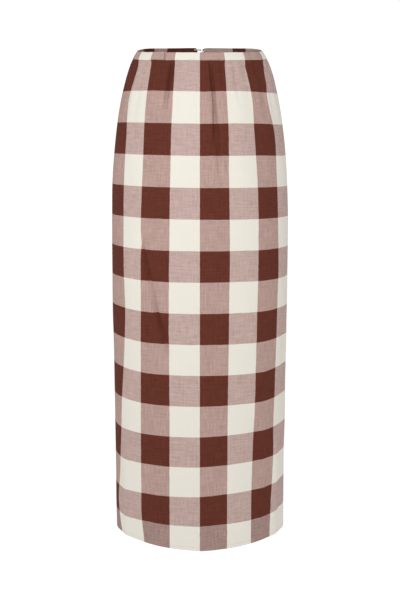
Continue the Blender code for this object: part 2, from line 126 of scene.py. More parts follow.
# Finer creases: first the tucks and gathers, which all start in the waist seam
GATHERS = (
    (0.092, 0.130, 0.095, 2.8, -2.4),
    (0.108, 0.161, 0.290, 3.6, -3.0),
    (0.104, 0.152, 0.240, 8.0, -2.0),
    (0.152, 0.166, 0.130, 3.0, -1.8),
    (0.178, 0.184, 0.090, 2.6, 1.0),
    (0.062, 0.070, 0.075, 2.6, -1.0),
    (-0.274, -0.298, 0.120, 4.0, -5.2),
    (-0.250, -0.262, 0.070, 2.6, -1.8),
    (-0.216, -0.230, 0.060, 2.8, -1.2),
    (-0.352, -0.372, 0.080, 3.0, -1.3),
    (-0.412, -0.428, 0.100, 3.2, 1.2),
    (0.188, 0.196, 0.080, 2.8, -1.2),
    (0.240, 0.252, 0.070, 3.0, -1.2),
    (0.294, 0.306, 0.100, 3.4, 1.2),
    (-0.330, -0.345, 0.055, 3.0, 0.8),
    (-0.450, -0.452, 0.070, 2.8, -0.9),
    (-0.505, -0.510, 0.050, 2.6, -1.0),
    (-0.545, -0.555, 0.085, 3.0, 0.9),
    (-0.612, -0.622, 0.075, 2.8, -1.2),
    (-0.655, -0.668, 0.110, 3.2, 1.0),
    (-0.735, -0.750, 0.060, 2.8, -1.0),
    (-0.800, -0.815, 0.120, 4.5, -1.3),
    (-0.890, -0.900, 0.080, 3.5, 0.9),
    (0.015, 0.012, 0.045, 3.0, -0.6),
    (0.205, 0.212, 0.060, 3.0, -0.9),
    (0.262, 0.268, 0.040, 2.6, -0.7),
    (0.318, 0.325, 0.090, 3.4, -1.0),
    (0.372, 0.385, 0.060, 2.8, 0.8),
    (0.425, 0.440, 0.110, 3.6, -1.1),
    (0.486, 0.498, 0.070, 2.6, -1.2),
    (0.530, 0.545, 0.095, 2.8, 1.0),
    (0.618, 0.640, 0.085, 2.8, -1.3),
    (0.660, 0.680, 0.130, 3.4, 1.0),
    (0.745, 0.765, 0.070, 3.0, -1.1),
    (0.830, 0.850, 0.110, 4.2, -1.2),
    (0.915, 0.930, 0.070, 3.4, 0.8),
    (1.080, 1.090, 0.080, 3.4, -1.0),
    (1.170, 1.175, 0.120, 4.2, -1.2),
    (1.245, 1.240, 0.060, 2.8, 0.9),
    (1.405, 1.390, 0.095, 3.2, -1.2),
    (1.490, 1.480, 0.070, 3.0, -1.0),
    (1.560, 1.540, 0.120, 4.0, 1.0),
    (1.630, 1.620, 0.080, 2.8, -1.1),
    (1.770, 1.765, 0.070, 3.0, -1.0),
    (1.860, 1.860, 0.100, 3.6, -0.8),
    (-1.085, -1.090, 0.090, 3.6, -1.1),
    (-1.180, -1.190, 0.060, 3.0, 0.9),
    (-1.265, -1.260, 0.110, 3.6, -1.0),
    (-1.430, -1.415, 0.080, 3.0, -1.2),
    (-1.520, -1.500, 0.120, 4.2, 1.0),
    (-1.600, -1.590, 0.060, 2.6, -1.0),
    (-1.780, -1.775, 0.090, 3.4, -0.9),
    (-1.870, -1.870, 0.060, 3.0, 0.8),
)
# Then the creases and soft flutes further down
FINE_FOLDS = (
    *[(top, end_turn, 0.0, *rest) for top, end_turn, *rest in GATHERS],
    (0.126, 0.106, 0.045, 0.190, 3.2, -3.4),
    (-0.140, -0.175, 0.010, 0.330, 16.0, -1.0),
    (-0.400, -0.380, 0.050, 0.300, 13.0, 0.9),
    (0.330, 0.300, 0.040, 0.280, 14.0, 1.0),
    (0.500, 0.460, 0.080, 0.360, 16.0, -1.2),
    (-0.500, -0.420, 0.200, 0.420, 14.0, 1.0),
    (-0.474, -0.288, 0.320, 0.500, 3.6, -3.4),
    (-0.438, -0.252, 0.330, 0.500, 5.0, 1.2),
    (-0.382, -0.164, 0.425, 0.600, 3.8, -4.2),
    (-0.420, -0.205, 0.430, 0.590, 5.0, 1.4),
    (0.240, 0.300, 0.380, 0.620, 20.0, -1.1),
    (-0.080, -0.060, 0.560, 0.900, 20.0, 1.0),
    (0.420, 0.430, 0.660, 1.050, 17.0, -1.4),
    (-0.420, -0.410, 0.700, 1.080, 19.0, -1.2),
    (0.150, 0.160, 0.740, 1.080, 17.0, -0.9),
    (1.250, 1.200, 0.300, 0.560, 16.0, -1.6),
    (1.800, 1.700, 0.260, 0.520, 14.0, -1.4),
    (-1.200, -1.220, 0.360, 0.620, 17.0, -1.5),
    (1.780, 1.790, 0.640, 1.050, 19.0, -1.3),
    (-1.650, -1.660, 0.680, 1.060, 18.0, -1.2),
    (1.150, 1.160, 0.640, 1.080, 18.0, 1.4),
)
FINE_STRENGTH = 1.35
FOLD_RISE = 0.22           # share of a fold's length over which it opens
FOLD_OPEN = 0.35           # how far a fold that starts in the waist seam is open there
FOLD_FADE = 0.60           # share over which it runs out
PUCKER_HEIGHT = 0.00030    # tiny ripples where the cloth is eased into the band
PUCKER_LENGTH = 0.0068
PUCKER_DROP = 0.011
PUCKER_DRIFT = (1.8, 17.0)             # how far their spacing drifts, and how often
PUCKER_UNEVEN = (0.6, 0.4, 23.0, 0.7)  # mean height, change, how often, start
SWELL_HEIGHT = 0.00045     # slow swells all over, as in soft cotton that hangs
SWELL_DROP = 0.04          # they set in below the band
QUARTER = 0.26             # about a quarter of the way round
# Waves round, waves down, start and share
SWELLS = ((61.0, 19.0, 0.0, 1.0), (37.0, -31.0, 1.3, 1.0), (113.0, 47.0, 2.1, 0.7))

# The check: stripes and rows, and where the photograph shows them on the cloth
STRIPE = 0.058
ROW = 0.060
WARP_COLUMNS = ("drop", "right_3", "right_2", "right_1", "left_1", "left_2", "left_3")
WARP_ARCS = (
    (0.010, -0.136, -0.099, -0.048, 0.048, 0.090, 0.144),
    (0.070, -0.160, -0.107, -0.051, 0.051, 0.104, 0.145),
    (0.130, -0.158, -0.110, -0.054, 0.054, 0.108, 0.161),
    (0.210, -0.162, -0.113, -0.056, 0.055, 0.114, 0.166),
    (0.330, -0.164, -0.118, -0.058, 0.057, 0.117, 0.172),
    (0.510, -0.162, -0.119, -0.060, 0.056, 0.114, 0.169),
    (0.690, -0.180, -0.121, -0.059, 0.054, 0.110, 0.162),
    (0.820, -0.193, -0.122, -0.060, 0.054, 0.106, 0.157),
    (0.880, -0.203, -0.122, -0.060, 0.054, 0.105, 0.154),
    (0.920, -0.192, -0.118, -0.060, 0.054, 0.105, 0.153),
    (0.960, -0.172, -0.113, -0.060, 0.054, 0.105, 0.153),
)
SIDE_EASE = 1.25           # the stripes beyond them, where the cloth is stretched round the hips
SIDE_LINE = 0.236          # the next line keeps near this arc, so that it runs down beside the side seam
SIDE_FOLLOWS = 0.35        # and follows the line before it by this share
# Drops of the rows' lines at the centre front, and their rise in millimetres at five turns
WEFT_COLUMNS = ("row", "drop", "rise_right", "rise_mid_right", "rise_mid_left", "rise_left", "rise_far_left")
WEFT_TURNS = (-0.70, -0.40, 0.30, 0.50, 0.70)
WEFT_LINES = (
    (0.0, -0.0030, 4.0, 2.0, 1.0, 2.0, 3.0),
    (1.0, 0.0580, 4.0, 2.6, 1.6, 1.0, 0.0),
    (3.0, 0.1766, 3.0, 1.7, 0.2, 0.2, -1.0),
    (5.0, 0.2954, 2.7, 1.5, -0.5, -0.8, -1.0),
    (7.0, 0.4147, 3.9, 0.7, 0.3, -0.6, 0.1),
    (10.0, 0.5952, 5.4, 0.8, 0.0, 0.4, 5.5),
    (12.0, 0.7173, 1.4, 0.6, 4.2, 4.4, 8.0),
    (14.0, 0.8379, -3.5, -0.9, 6.3, 7.2, 12.5),
    (15.0, 0.8986, 0.5, 2.6, 5.6, 7.0, 13.0),
    (16.0, 0.9590, 3.5, 6.0, 6.0, 9.0, 14.0),
)
SIDE_SINK = 0.4            # share of its last rise that a row loses towards the side seam
FIRST_ROW_LEAST = 0.030
BACK_EASE = 0.86           # the back's stripes are this much narrower at the waist
BACK_EASE_DROP = 0.15

# Mesh steps
FRONT_STEPS = 200
BACK_STEPS = 100
DOWN_STEPS = 150
DOWN_POWER = 1.30
TUCK_TURNS = (0.11, -0.29, 1.69, -1.675)
TUCK_SPREAD = 0.07
TUCK_CROWDING = 2.0
EDGE_SPREAD = 0.02
EDGE_CROWDING = 3.0
CROWDING_POINTS = 1601
TURN_STEP = 0.004          # to both sides of a point, for the direction of the cloth there
LINE_STEP = 0.002
ARC_STEPS = np.linspace(0.0, math.pi / 2.0, 91)

# The band's lap in front and its ends at the back
LAP_TURN = -0.370
LAP_UNDER = 0.045
LAP_LIFT_START = 0.210
LAP_LIFT_END = 0.080
LAP_HANG = 0.0020
LAP_LEAN = 0.018           # the lapped edge runs straight down while the band widens
LAP_LEAN_TURN = 0.08
LIFT_POINTS = 16
LAP_POINTS = 9
BAND_BULGE = 0.0004
BAND_WAVE = 0.00035        # unevenness of the band's lower edge
BAND_WAVES = ((19.0, 0.6, 0.6), (47.0, 2.0, 0.4))    # how often, start, share
BAND_SWAY = 0.00025        # and of its face
BAND_SWAY_WAVES = (41.0, 1.1, 13.0)
BAND_ROUND = 0.10          # share of its height that is rounded over at the top
BAND_UPS = np.concatenate([(0.0, 0.04, 0.12, 0.30, 0.50, 0.70), 1.0 - BAND_ROUND * (1.0 - np.sin(
    np.radians(np.linspace(0.0, 90.0, 6))))])
BAND_PINCH = 0.30          # how far its faces are drawn together in the seam
BAND_PINCH_SHARE = 0.06
BAND_CLOSED = 0.98         # they never quite meet
BAND_ROW = 0.0005          # outside, its light row starts this far above the seam
BAND_ROW_LOWEST = -0.02
BAND_INSIDE_ROW = 0.004    # inside, the dark row
BAND_STEP_TURN = 0.018
BACK_GAP = 0.0104
BAND_CORNER = 0.0060
CORNER_POINTS = 9
# Arcs from the centre back of the stripes on the band's inner side
BAND_INSIDE_RIGHT = (0.0, 0.074, 0.106, 0.142, 0.186, 0.40)
BAND_INSIDE_LEFT = (0.0, 0.074, 0.106, 0.176, 0.206, 0.40)

ZIP_LENGTH = 0.190
ZIP_TAPE_WIDTH = 0.0110
ZIP_TAPE_THICKNESS = 0.0006
ZIP_CHAIN_WIDTH = 0.0032
SOLID_CLOTH = 0.0015       # the solids' wall, which the zip lies behind
TAPE_ACROSS_POINTS = 9
TAPE_DOWN_POINTS = 41
TOOTH_PITCH = 0.0012
TOOTH_ACROSS = 0.0011      # half the width of one turn of the coil
TOOTH_SHIFT = 0.0007
TOOTH_RADIUS = 0.00045
COIL_DEPTH = 0.0037        # from the cloth's outer face to the coil's inner one
COIL_INSET = (0.001, 0.002)            # at its top and its bottom
COIL_POINTS = 60
STITCH_PITCH = 0.0030
STITCH_HALF_LENGTH = 0.0011
THREAD_RADIUS = 0.00020
THREAD_PROUD = 0.00005
HEM_STITCH_UP = 0.001      # below the turning's upper edge
HEM_STITCH_TURN = 0.008    # from the side seams
HEM_STITCH_POINTS = 120
DITCH_ENDS = 1.99
DITCH_TURN = 0.02          # from the lapped edge
DITCH_POINTS = 240
LAP_STITCH_TURN = 0.012
LAP_STITCH_HEIGHTS = (0.0005, 0.0050)
LAP_STITCH_POINTS = 6
WIRE_RADIUS = 0.00045      # of the eye, which the thread wraps
SEWN_START = 0.0004
SEWN_LENGTH = 0.0036
SEWN_PITCH = 0.00042
SEWN_POINTS = 8
SEWN_THICKNESS = 0.00021
SEWN_REACH = 1.7 * WIRE_RADIUS


def smooth_step(value):
    share = np.clip(value, 0.0, 1.0)
    return share * share * (3.0 - 2.0 * share)


def table_value(rows, columns, column, place):
    """A column of a table at each place of its first column, on a smooth curve through the rows."""
    rows = np.array(sorted(rows))
    knots = rows[:, 0]
    values = rows[:, columns.index(column)]
    slopes = np.gradient(values, knots)
    place = np.clip(place, knots[0], knots[-1])
    low = np.clip(np.searchsorted(knots, place) - 1, 0, len(knots) - 2)
    span = knots[low + 1] - knots[low]
    t = (place - knots[low]) / span
    return ((1 + 2 * t) * (1 - t) ** 2 * values[low] + t * (1 - t) ** 2 * span * slopes[low]
            + t * t * (3 - 2 * t) * values[low + 1] + t * t * (t - 1) * span * slopes[low + 1])


def section_value(column, height):
    return table_value(SECTIONS, SECTION_COLUMNS, column, height)


def look_up(place, knots, values):
    """Values at places, where each place has its own row of rising knots."""
    low = np.clip((knots <= place[:, None]).sum(axis=1) - 1, 0, knots.shape[1] - 2)[:, None]
    start = np.take_along_axis(knots, low, axis=1)
    end = np.take_along_axis(knots, low + 1, axis=1)
    share = (place[:, None] - start) / (end - start)
    first = np.take_along_axis(values, low, axis=1)
    second = np.take_along_axis(values, low + 1, axis=1)
    return (first + (second - first) * share)[:, 0]


def section_points(turn, height):
    """Points x, y on the section at each height, and the arc from centre line to side seam."""
    turn = np.mod(turn + 2.0, 4.0) - 2.0
    away = np.abs(turn)
    front = away <= 1.0
    depth = np.where(front, section_value("front_depth", height), section_value("back_depth", height))
    power = (2.0 / section_value("roundness", height))[:, None]
    across = section_value("half_width", height)[:, None] * np.sin(ARC_STEPS) ** power
    outward = depth[:, None] * np.abs(np.cos(ARC_STEPS)) ** power
    steps = np.hypot(np.diff(across, axis=1), np.diff(outward, axis=1))
    arc = np.hstack([np.zeros((len(turn), 1)), np.cumsum(steps, axis=1)])
    walked = np.where(front, away, 2.0 - away) * arc[:, -1]
    x = look_up(walked, arc, across)
    y = look_up(walked, arc, outward)
    return x * np.sign(turn), np.where(front, -y, y), arc[:, -1]


def seam_height(turn):
    """Height of the seam between the band and the panels, found in a few rounds."""
    height = np.zeros_like(turn)
    for _ in range(SEAM_ROUNDS):
        _, y, _ = section_points(turn, height)
        height = WAIST_SLOPE * y + WAIST_CURVE * y * y - BAND_HEIGHT / 2.0
    middle, spread = WAIST_LIFT_TURN
    around = np.abs(np.mod(turn + 2.0, 4.0) - 2.0)
    return height + WAIST_LIFT * np.exp(-((around - middle) / spread) ** 2)


def seam_edge(turn):
    """Height at which band and panels meet to the eye; it is eased up a little in front."""
    middle, spread = EASED_TURN
    return seam_height(turn) + EASED_UP * np.exp(-((turn - middle) / spread) ** 2)


CENTRE_SEAM = float(seam_height(np.array([0.0]))[0])


def hem_height(turn):
    """Height of the hem, which is lowest at the centre front and centre back."""
    rise = HEM_RISE * np.abs(np.sin(turn * math.pi / 2.0)) ** HEM_RISE_POWER
    corner = HEM_CORNER * np.exp(-((1.0 - np.abs(turn)) / HEM_CORNER_TURN) ** 2)
    return CENTRE_SEAM - FRONT_LENGTH + rise - corner


def swells(turn, height):
    """Slow uneven swells, as long as a hand is wide."""
    total = np.zeros_like(turn)
    for waves_round, waves_down, start, share in SWELLS:
        total += share * np.sin(turn * QUARTER * waves_round + height * waves_down + start)
    return SWELL_HEIGHT * total / 2.0


def fold_offset(turn, height, quarter):
    """How far folds, swells and puckers carry the cloth outward."""
    drop = seam_height(turn) - height
    offset = swells(turn, height) * smooth_step(drop / SWELL_DROP)
    for row in LARGE_FOLDS + FINE_FOLDS:
        fold = dict(zip(FOLD_COLUMNS, row))
        along = np.clip((drop - fold["start"]) / (fold["end"] - fold["start"]), 0.0, 1.0)
        centre = fold["turn_top"] + (fold["turn_end"] - fold["turn_top"]) * along
        away = (np.mod(turn - centre + 2.0, 4.0) - 2.0) * quarter / MILLIMETRE
        rise = smooth_step(along / FOLD_RISE + (FOLD_OPEN if fold["start"] == 0.0 else 0.0))
        strength = rise * smooth_step((1.0 - along) / FOLD_FADE)
        strength *= FINE_STRENGTH if row in FINE_FOLDS else 1.0
        offset += fold["depth"] * MILLIMETRE * strength * np.exp(-(away / fold["half_width"]) ** 2)
    drift, drift_waves = PUCKER_DRIFT
    mean, change, waves, start = PUCKER_UNEVEN
    phase = turn * quarter / PUCKER_LENGTH * 2.0 * math.pi
    uneven = mean + change * np.sin(turn * waves + start)
    ripple = np.sin(phase + drift * np.sin(turn * drift_waves)) * uneven
    return offset + PUCKER_HEIGHT * ripple * np.exp(-(drop / PUCKER_DROP) ** 2)


def cloth_points(turn, height):
    """Points of the cloth's outer face, with its folds, for grids of turns and heights."""
    shape = turn.shape
    turn, height = turn.ravel(), height.ravel()
    x, y, quarter = section_points(turn, height)
    ahead_x, ahead_y, _ = section_points(turn + TURN_STEP, height)
    behind_x, behind_y, _ = section_points(turn - TURN_STEP, height)
    along_x, along_y = ahead_x - behind_x, ahead_y - behind_y
    length = np.hypot(along_x, along_y)
    offset = fold_offset(turn, height, quarter)
    points = np.stack([x + along_y / length * offset, y - along_x / length * offset, height], axis=1)
    return points.reshape(*shape, 3)


def grid_normals(points):
    """Outward normals of a grid whose columns run round to the left and whose rows run up."""
    around = np.gradient(points, axis=1)
    upward = np.gradient(points, axis=0)
    normal = np.cross(around, upward)
    return normal / np.linalg.norm(normal, axis=2, keepdims=True)


def warp_place(turn, height):
    """Where a point lies across the front's stripes, in metres of cloth from the centre front."""
    turn, height = turn.ravel(), height.ravel()
    _, _, quarter = section_points(turn, height)
    drop = CENTRE_SEAM - height
    knots = [table_value(WARP_ARCS, WARP_COLUMNS, column, drop) for column in WARP_COLUMNS[1:]]
    knots.insert(3, np.zeros_like(drop))
    side_stripe = STRIPE * SIDE_EASE
    right_4 = SIDE_FOLLOWS * (knots[0] - side_stripe) - (1.0 - SIDE_FOLLOWS) * SIDE_LINE
    left_4 = SIDE_FOLLOWS * (knots[-1] + side_stripe) + (1.0 - SIDE_FOLLOWS) * SIDE_LINE
    knots = np.stack([right_4 - side_stripe, right_4, *knots, left_4, left_4 + side_stripe], axis=1)
    cloth = STRIPE * np.arange(-5, 6)
    return look_up(turn * quarter, knots, np.tile(cloth, (len(turn), 1)))


def weft_place(turn, height):
    """How far down the check's rows a point lies, in metres of cloth from the waist seam."""
    turn, height = turn.ravel(), height.ravel()
    folded = np.where(np.abs(turn) > 1.0, np.sign(turn) * (2.0 - np.abs(turn)), turn)
    lines = np.array(WEFT_LINES)
    reach = np.concatenate([[-1.0], WEFT_TURNS[:2], [0.0], WEFT_TURNS[2:], [1.0]])
    rises = []
    for line in lines:
        rise = line[2:] * MILLIMETRE
        far_left = rise[-1] - SIDE_SINK * max(rise[-1], 0.0)
        row = np.concatenate([[rise[0]], rise[:2], [0.0], rise[2:], [far_left]])
        rises.append(np.interp(folded, reach, row))
    drops = lines[:, 1][:, None] - np.array(rises)
    seam = CENTRE_SEAM - seam_height(turn)
    drops[0] = np.minimum(seam, drops[1] - FIRST_ROW_LEAST)
    return look_up(CENTRE_SEAM - height, drops.T, np.tile(lines[:, 0] * ROW, (len(turn), 1)))


def front_fabric(turn, height):
    return np.stack([warp_place(turn, height), weft_place(turn, height)], axis=1)


def back_fabric(turn, height):
    """The back panels' stripes run straight down from the centre back, where they match."""
    flat = turn.ravel()
    _, _, quarter = section_points(flat, height.ravel())
    ease = BACK_EASE + (1.0 - BACK_EASE) * smooth_step((CENTRE_SEAM - height.ravel()) / BACK_EASE_DROP)
    from_back = (2.0 - np.abs(flat)) * np.sign(flat) * quarter / ease
    return np.stack([-from_back, weft_place(turn, height)], axis=1)


def placed(name, data):
    """A new object in the scene."""
    item = bpy.data.objects.new(name, data)
    bpy.context.scene.collection.objects.link(item)
    return item


def cloth_piece(name, mesh, fabric, paint):
    """A mesh as a smooth-shaded object, with the cloth's own coordinates as its UV map."""
    layer = mesh.uv_layers.new(name="cloth")
    index = np.zeros(len(mesh.loops), np.int32)
    mesh.loops.foreach_get("vertex_index", index)
    layer.data.foreach_set("uv", fabric[index].astype(np.float32).ravel())
    mesh.shade_smooth()
    mesh.set_sharp_from_angle(angle=SHARP_EDGE)
    mesh.materials.append(paint)
    return placed(name, mesh)


def shell(name, outer, inner, outer_fabric, inner_fabric, paint):
    """A closed sheet between two grids of points, with a cloth coordinate at each point."""
    rows, columns, _ = outer.shape
    count = rows * columns
    index = np.arange(count).reshape(rows, columns)
    corner = index[:-1, :-1].ravel()
    quads = np.stack([corner, corner + 1, corner + columns + 1, corner + columns], axis=1)
    edge = np.concatenate([index[0], index[1:, -1], index[-1, -2::-1], index[-2:0:-1, 0]])
    there = np.roll(edge, -1)
    sides = np.stack([there, edge, count + edge, count + there], axis=1)
    faces = np.vstack([quads, quads[:, ::-1] + count, sides])
    mesh = bpy.data.meshes.new(name)
    mesh.from_pydata(np.vstack([outer.reshape(-1, 3), inner.reshape(-1, 3)]).tolist(), [], faces.tolist())
    return cloth_piece(name, mesh, np.vstack([outer_fabric, inner_fabric]), paint)


def crowded_turns(first, last, steps):
    """Turns from first to last that lie closer together at the tucks and at both edges."""
    fine = np.linspace(first, last, CROWDING_POINTS)
    density = np.ones_like(fine)
    for tuck in TUCK_TURNS:
        density += TUCK_CROWDING * np.exp(-((fine - tuck) / TUCK_SPREAD) ** 2)
    for edge in (first, last):
        density += EDGE_CROWDING * np.exp(-((fine - edge) / EDGE_SPREAD) ** 2)
    run = np.concatenate([[0.0], np.cumsum((density[1:] + density[:-1]) / 2.0)])
    return np.interp(np.linspace(0.0, run[-1], steps + 1), run, fine)


def panel(name, first, last, steps, fabric, paint):
    """A panel of the skirt from the waist seam to the hem, with its hem turned up inside."""
    _, _, quarter = section_points(np.array([first]), np.array([-FRONT_LENGTH / 2.0]))
    gap = SEAM_CLEAR / 2.0 / quarter[0]
    across = crowded_turns(first + gap, last - gap, steps)
    down = np.linspace(1.0, 0.0, DOWN_STEPS + 1) ** DOWN_POWER
    turns = np.tile(across, (len(down), 1))
    top = seam_edge(across) - SEAM_GAP
    hem = hem_height(across)
    heights = top[None, :] * (1.0 - down[:, None]) + hem[None, :] * down[:, None]
    points = cloth_points(turns, heights)
    normals = grid_normals(points)
    from_edge = np.minimum(across - across[0], across[-1] - across) * quarter[0]
    roll = SEAM_ROLL * np.exp(-(from_edge / SEAM_ROLL_WIDTH) ** 2)
    above_hem = heights - hem[None, :]
    thickness = CLOTH + HEM_LAYER * smooth_step((HEM_DEPTH - above_hem) / HEM_LAYER_EDGE + 0.5)
    thickness += SEAM_LAYER * smooth_step((SEAM_ALLOWANCE - from_edge) / SEAM_LAYER_EDGE + 0.5)[None, :]
    outer = points - normals * roll[None, :, None]
    inner = outer - normals * thickness[..., None]
    woven = fabric(turns, heights)
    return shell(name, outer, inner, woven, woven, paint)


# The way along the band from the centre front, and from the centre back, to a side seam
_, _, (FRONT_QUARTER, BACK_QUARTER) = section_points(np.array([0.0, 2.0]), np.array([0.0, 0.0]))


def band_turns(first, last):
    steps = max(2, round(abs(last - first) / BAND_STEP_TURN))
    return np.linspace(first, last, steps + 1)


def band_end(side):
    """The turn where a strip ends at the centre back, and turns back from there round its corner."""
    end = side * (2.0 - BACK_GAP / 2.0 / BACK_QUARTER)
    angles = np.radians(np.linspace(0.0, 90.0, CORNER_POINTS))
    return end, end - side * BAND_CORNER * (1.0 - np.cos(angles)) / BACK_QUARTER


def band_inside_place(turn):
    """Where a point of the band's inner side lies across the stripes."""
    arc = (2.0 - np.abs(turn)) * BACK_QUARTER
    cloth = STRIPE * np.arange(len(BAND_INSIDE_RIGHT))
    right = np.interp(arc, BAND_INSIDE_RIGHT, cloth)
    left = np.interp(arc, BAND_INSIDE_LEFT, cloth)
    return np.where(turn < 0.0, right, -left)


def band_edges(turns, hang, corner_at):
    """Heights of the band's lower and upper edges; the upper one is rounded off at the band's end."""
    eased = np.ones_like(turns)
    for waves, start, share in BAND_WAVES:
        eased += share * np.sin(turns * waves + start)
    from_end = np.abs(turns - corner_at) * BACK_QUARTER
    inside = np.clip(BAND_CORNER - from_end, 0.0, BAND_CORNER)
    rounded = BAND_CORNER - np.sqrt(BAND_CORNER ** 2 - inside ** 2)
    return seam_edge(turns) - hang - BAND_WAVE * eased, seam_height(turns) + BAND_HEIGHT - rounded


def band_closing():
    """How far the band's faces come together at each height: a round fold on top, a pinch in the seam."""
    over = (BAND_UPS - (1.0 - BAND_ROUND)) / BAND_ROUND
    fold = np.where(over > 0.0, 1.0 - np.sqrt(np.clip(1.0 - over ** 2, 0.0, 1.0)), 0.0)
    return fold + BAND_PINCH * np.exp(-(BAND_UPS / BAND_PINCH_SHARE) ** 2)


def band_strip(name, turns, lift, thickness, hang, corner_at, paint, lean=0.0):
    """A strip of the band: cloth folded over at the top, its light row outside and a dark row inside."""
    ups = BAND_UPS[:, None]
    bottom, top = band_edges(turns, hang, corner_at)
    heights = bottom[None, :] * (1.0 - ups) + top[None, :] * ups
    grid = turns[None, :] + lean * np.exp(-((turns - LAP_TURN) / LAP_LEAN_TURN) ** 2)[None, :] * (1.0 - ups)
    x, y, _ = section_points(grid.ravel(), heights.ravel())
    points = np.stack([x, y, heights.ravel()], axis=1).reshape(*grid.shape, 3)
    normals = grid_normals(points)
    closing = thickness[None, :] / 2.0 * band_closing()[:, None] * BAND_CLOSED
    often, drift, drift_waves = BAND_SWAY_WAVES
    sway = BAND_SWAY * np.sin(turns * often + drift * np.sin(turns * drift_waves))[None, :]
    face = BAND_PROUD + lift[None, :] + BAND_BULGE * np.sin(math.pi * ups) + sway * ups
    outer = points + normals * (face - closing)[..., None]
    inner = points + normals * (face - thickness[None, :] + closing)[..., None]
    up = (heights - seam_height(turns)[None, :]).ravel()
    outside = np.stack([band_warp(grid), -np.maximum(up, BAND_ROW_LOWEST) - BAND_ROW], axis=1)
    behind = np.stack([band_inside_place(grid.ravel()), BAND_INSIDE_ROW + up], axis=1)
    return shell(name, outer, inner, outside, behind, paint)


def band_warp(grid):
    """The stripes outside the band carry on from the panels below."""
    seam = seam_height(grid[0])
    front = warp_place(grid[0], seam)
    back = back_fabric(grid[0], seam)[:, 0]
    return np.tile(np.where(np.abs(grid[0]) <= 1.0, front, back), (len(grid), 1)).ravel()


def waistband_left(paint):
    end, corner = band_end(1.0)
    turns = np.concatenate([band_turns(LAP_TURN - LAP_UNDER, corner[-1])[:-1], corner[::-1]])
    nothing = np.zeros_like(turns)
    return band_strip("waistband_left_cloth", turns, nothing, nothing + BAND_THICKNESS, nothing, end, paint)


def waistband_right(paint):
    end, corner = band_end(-1.0)
    room = LAP_TURN - LAP_UNDER - SEAM_GAP / FRONT_QUARTER
    step = room - SEAM_GAP / FRONT_QUARTER
    start = LAP_TURN - LAP_LIFT_START
    lap_turns = [np.linspace(start, step, LIFT_POINTS), np.linspace(room, LAP_TURN, LAP_POINTS)]
    turns = np.concatenate([corner, band_turns(corner[-1], start)[1:-1], *lap_turns])
    lift = (BAND_THICKNESS + 2.0 * SEAM_GAP) * smooth_step((turns - start) / (LAP_LIFT_START - LAP_LIFT_END))
    thickness = BAND_THICKNESS + np.where(turns < room, lift, 0.0)
    hang = LAP_HANG * smooth_step((turns - room) / LAP_UNDER)
    return band_strip("waistband_right_cloth", turns, lift, thickness, hang, end, paint, LAP_LEAN)


def zip_tape(name, near, far, paint):
    """A woven tape inside the centre back, between two distances from the seam (+ is the left side)."""
    back = np.array([2.0])
    seam = seam_height(back)
    _, _, quarter = section_points(back, seam - ZIP_LENGTH / 2.0)
    across = 2.0 - np.linspace(near, far, TAPE_ACROSS_POINTS) / quarter[0]
    down = np.linspace(1.0, 0.0, TAPE_DOWN_POINTS)
    turns = np.tile(across, (len(down), 1))
    heights = np.repeat((seam[0] - SEAM_GAP - ZIP_LENGTH * down)[:, None], len(across), axis=1)
    points = cloth_points(turns, heights)
    normals = grid_normals(points)
    outer = points - normals * (SOLID_CLOTH + SEAM_GAP)
    inner = outer - normals * ZIP_TAPE_THICKNESS
    distance = (2.0 - turns) * quarter[0]
    fabric = np.stack([distance.ravel(), -heights.ravel()], axis=1)
    return shell(name, outer, inner, fabric, fabric, paint)


# Materials

def linear(code):
    """An sRGB hex colour as linear RGBA."""
    parts = [int(code[i:i + 2], 16) / 255.0 for i in (1, 3, 5)]
    return (*[p / 12.92 if p <= 0.04045 else ((p + 0.055) / 1.055) ** 2.4 for p in parts], 1.0)


def fill(tree, node, **inputs):
    """Sets a node's inputs, by name or by in_ and a number, to values, hex colours, nodes or outputs."""
    for key, value in inputs.items():
        socket = node.inputs[int(key[3:])] if key.startswith("in_") else node.inputs[key.replace("_", " ")]
        if isinstance(value, bpy.types.Node):
            value = value.outputs[0]
        if isinstance(value, bpy.types.NodeSocket):
            tree.links.new(value, socket)
        else:
            socket.default_value = linear(value) if isinstance(value, str) else value
    return node


def add(tree, kind, settings=None, **inputs):
    """Adds a node, a shader one where kind is short. settings are its properties, or only its operation."""
    node = tree.nodes.new(kind if "Node" in kind else "ShaderNode" + kind)
    if isinstance(settings, str):
        settings = {"operation": settings}
    for key, value in (settings or {}).items():
        setattr(node, key, value)
    return fill(tree, node, **inputs)


def new_material(name, cloth=False):
    """A material and where its pattern lies, on the cloth or on the object."""
    made = bpy.data.materials.new(name)
    made.use_nodes = True
    tree = made.node_tree
    place = add(tree, "UVMap", {"uv_map": "cloth"}) if cloth else add(tree, "TexCoord").outputs["Object"]
    return made, tree, tree.nodes["Principled BSDF"], place


# Colours of the dyed and undyed yarns, and of the squares where they cross
CREAM = "#e0dbd0"
BROWN = "#5e3127"
ROSE = "#b69e97"           # brown weft over cream warp
TAN = "#ae928a"            # cream weft over brown warp
BORDER = 0.025             # how softly one stripe gives way to the next
YARN = 0.0009              # drawn twice as coarse as the real 0.45 mm, so that it shows
YARN_BORDER = 0.4
STRAY = 0.00055            # how far the yarns stray from straight
STRAY_SCALE = 90.0
STREAK_ACROSS = 330.0      # slubs 3 mm apart and 30 mm long, coarser than real so that they show
STREAK_ALONG = 32.0
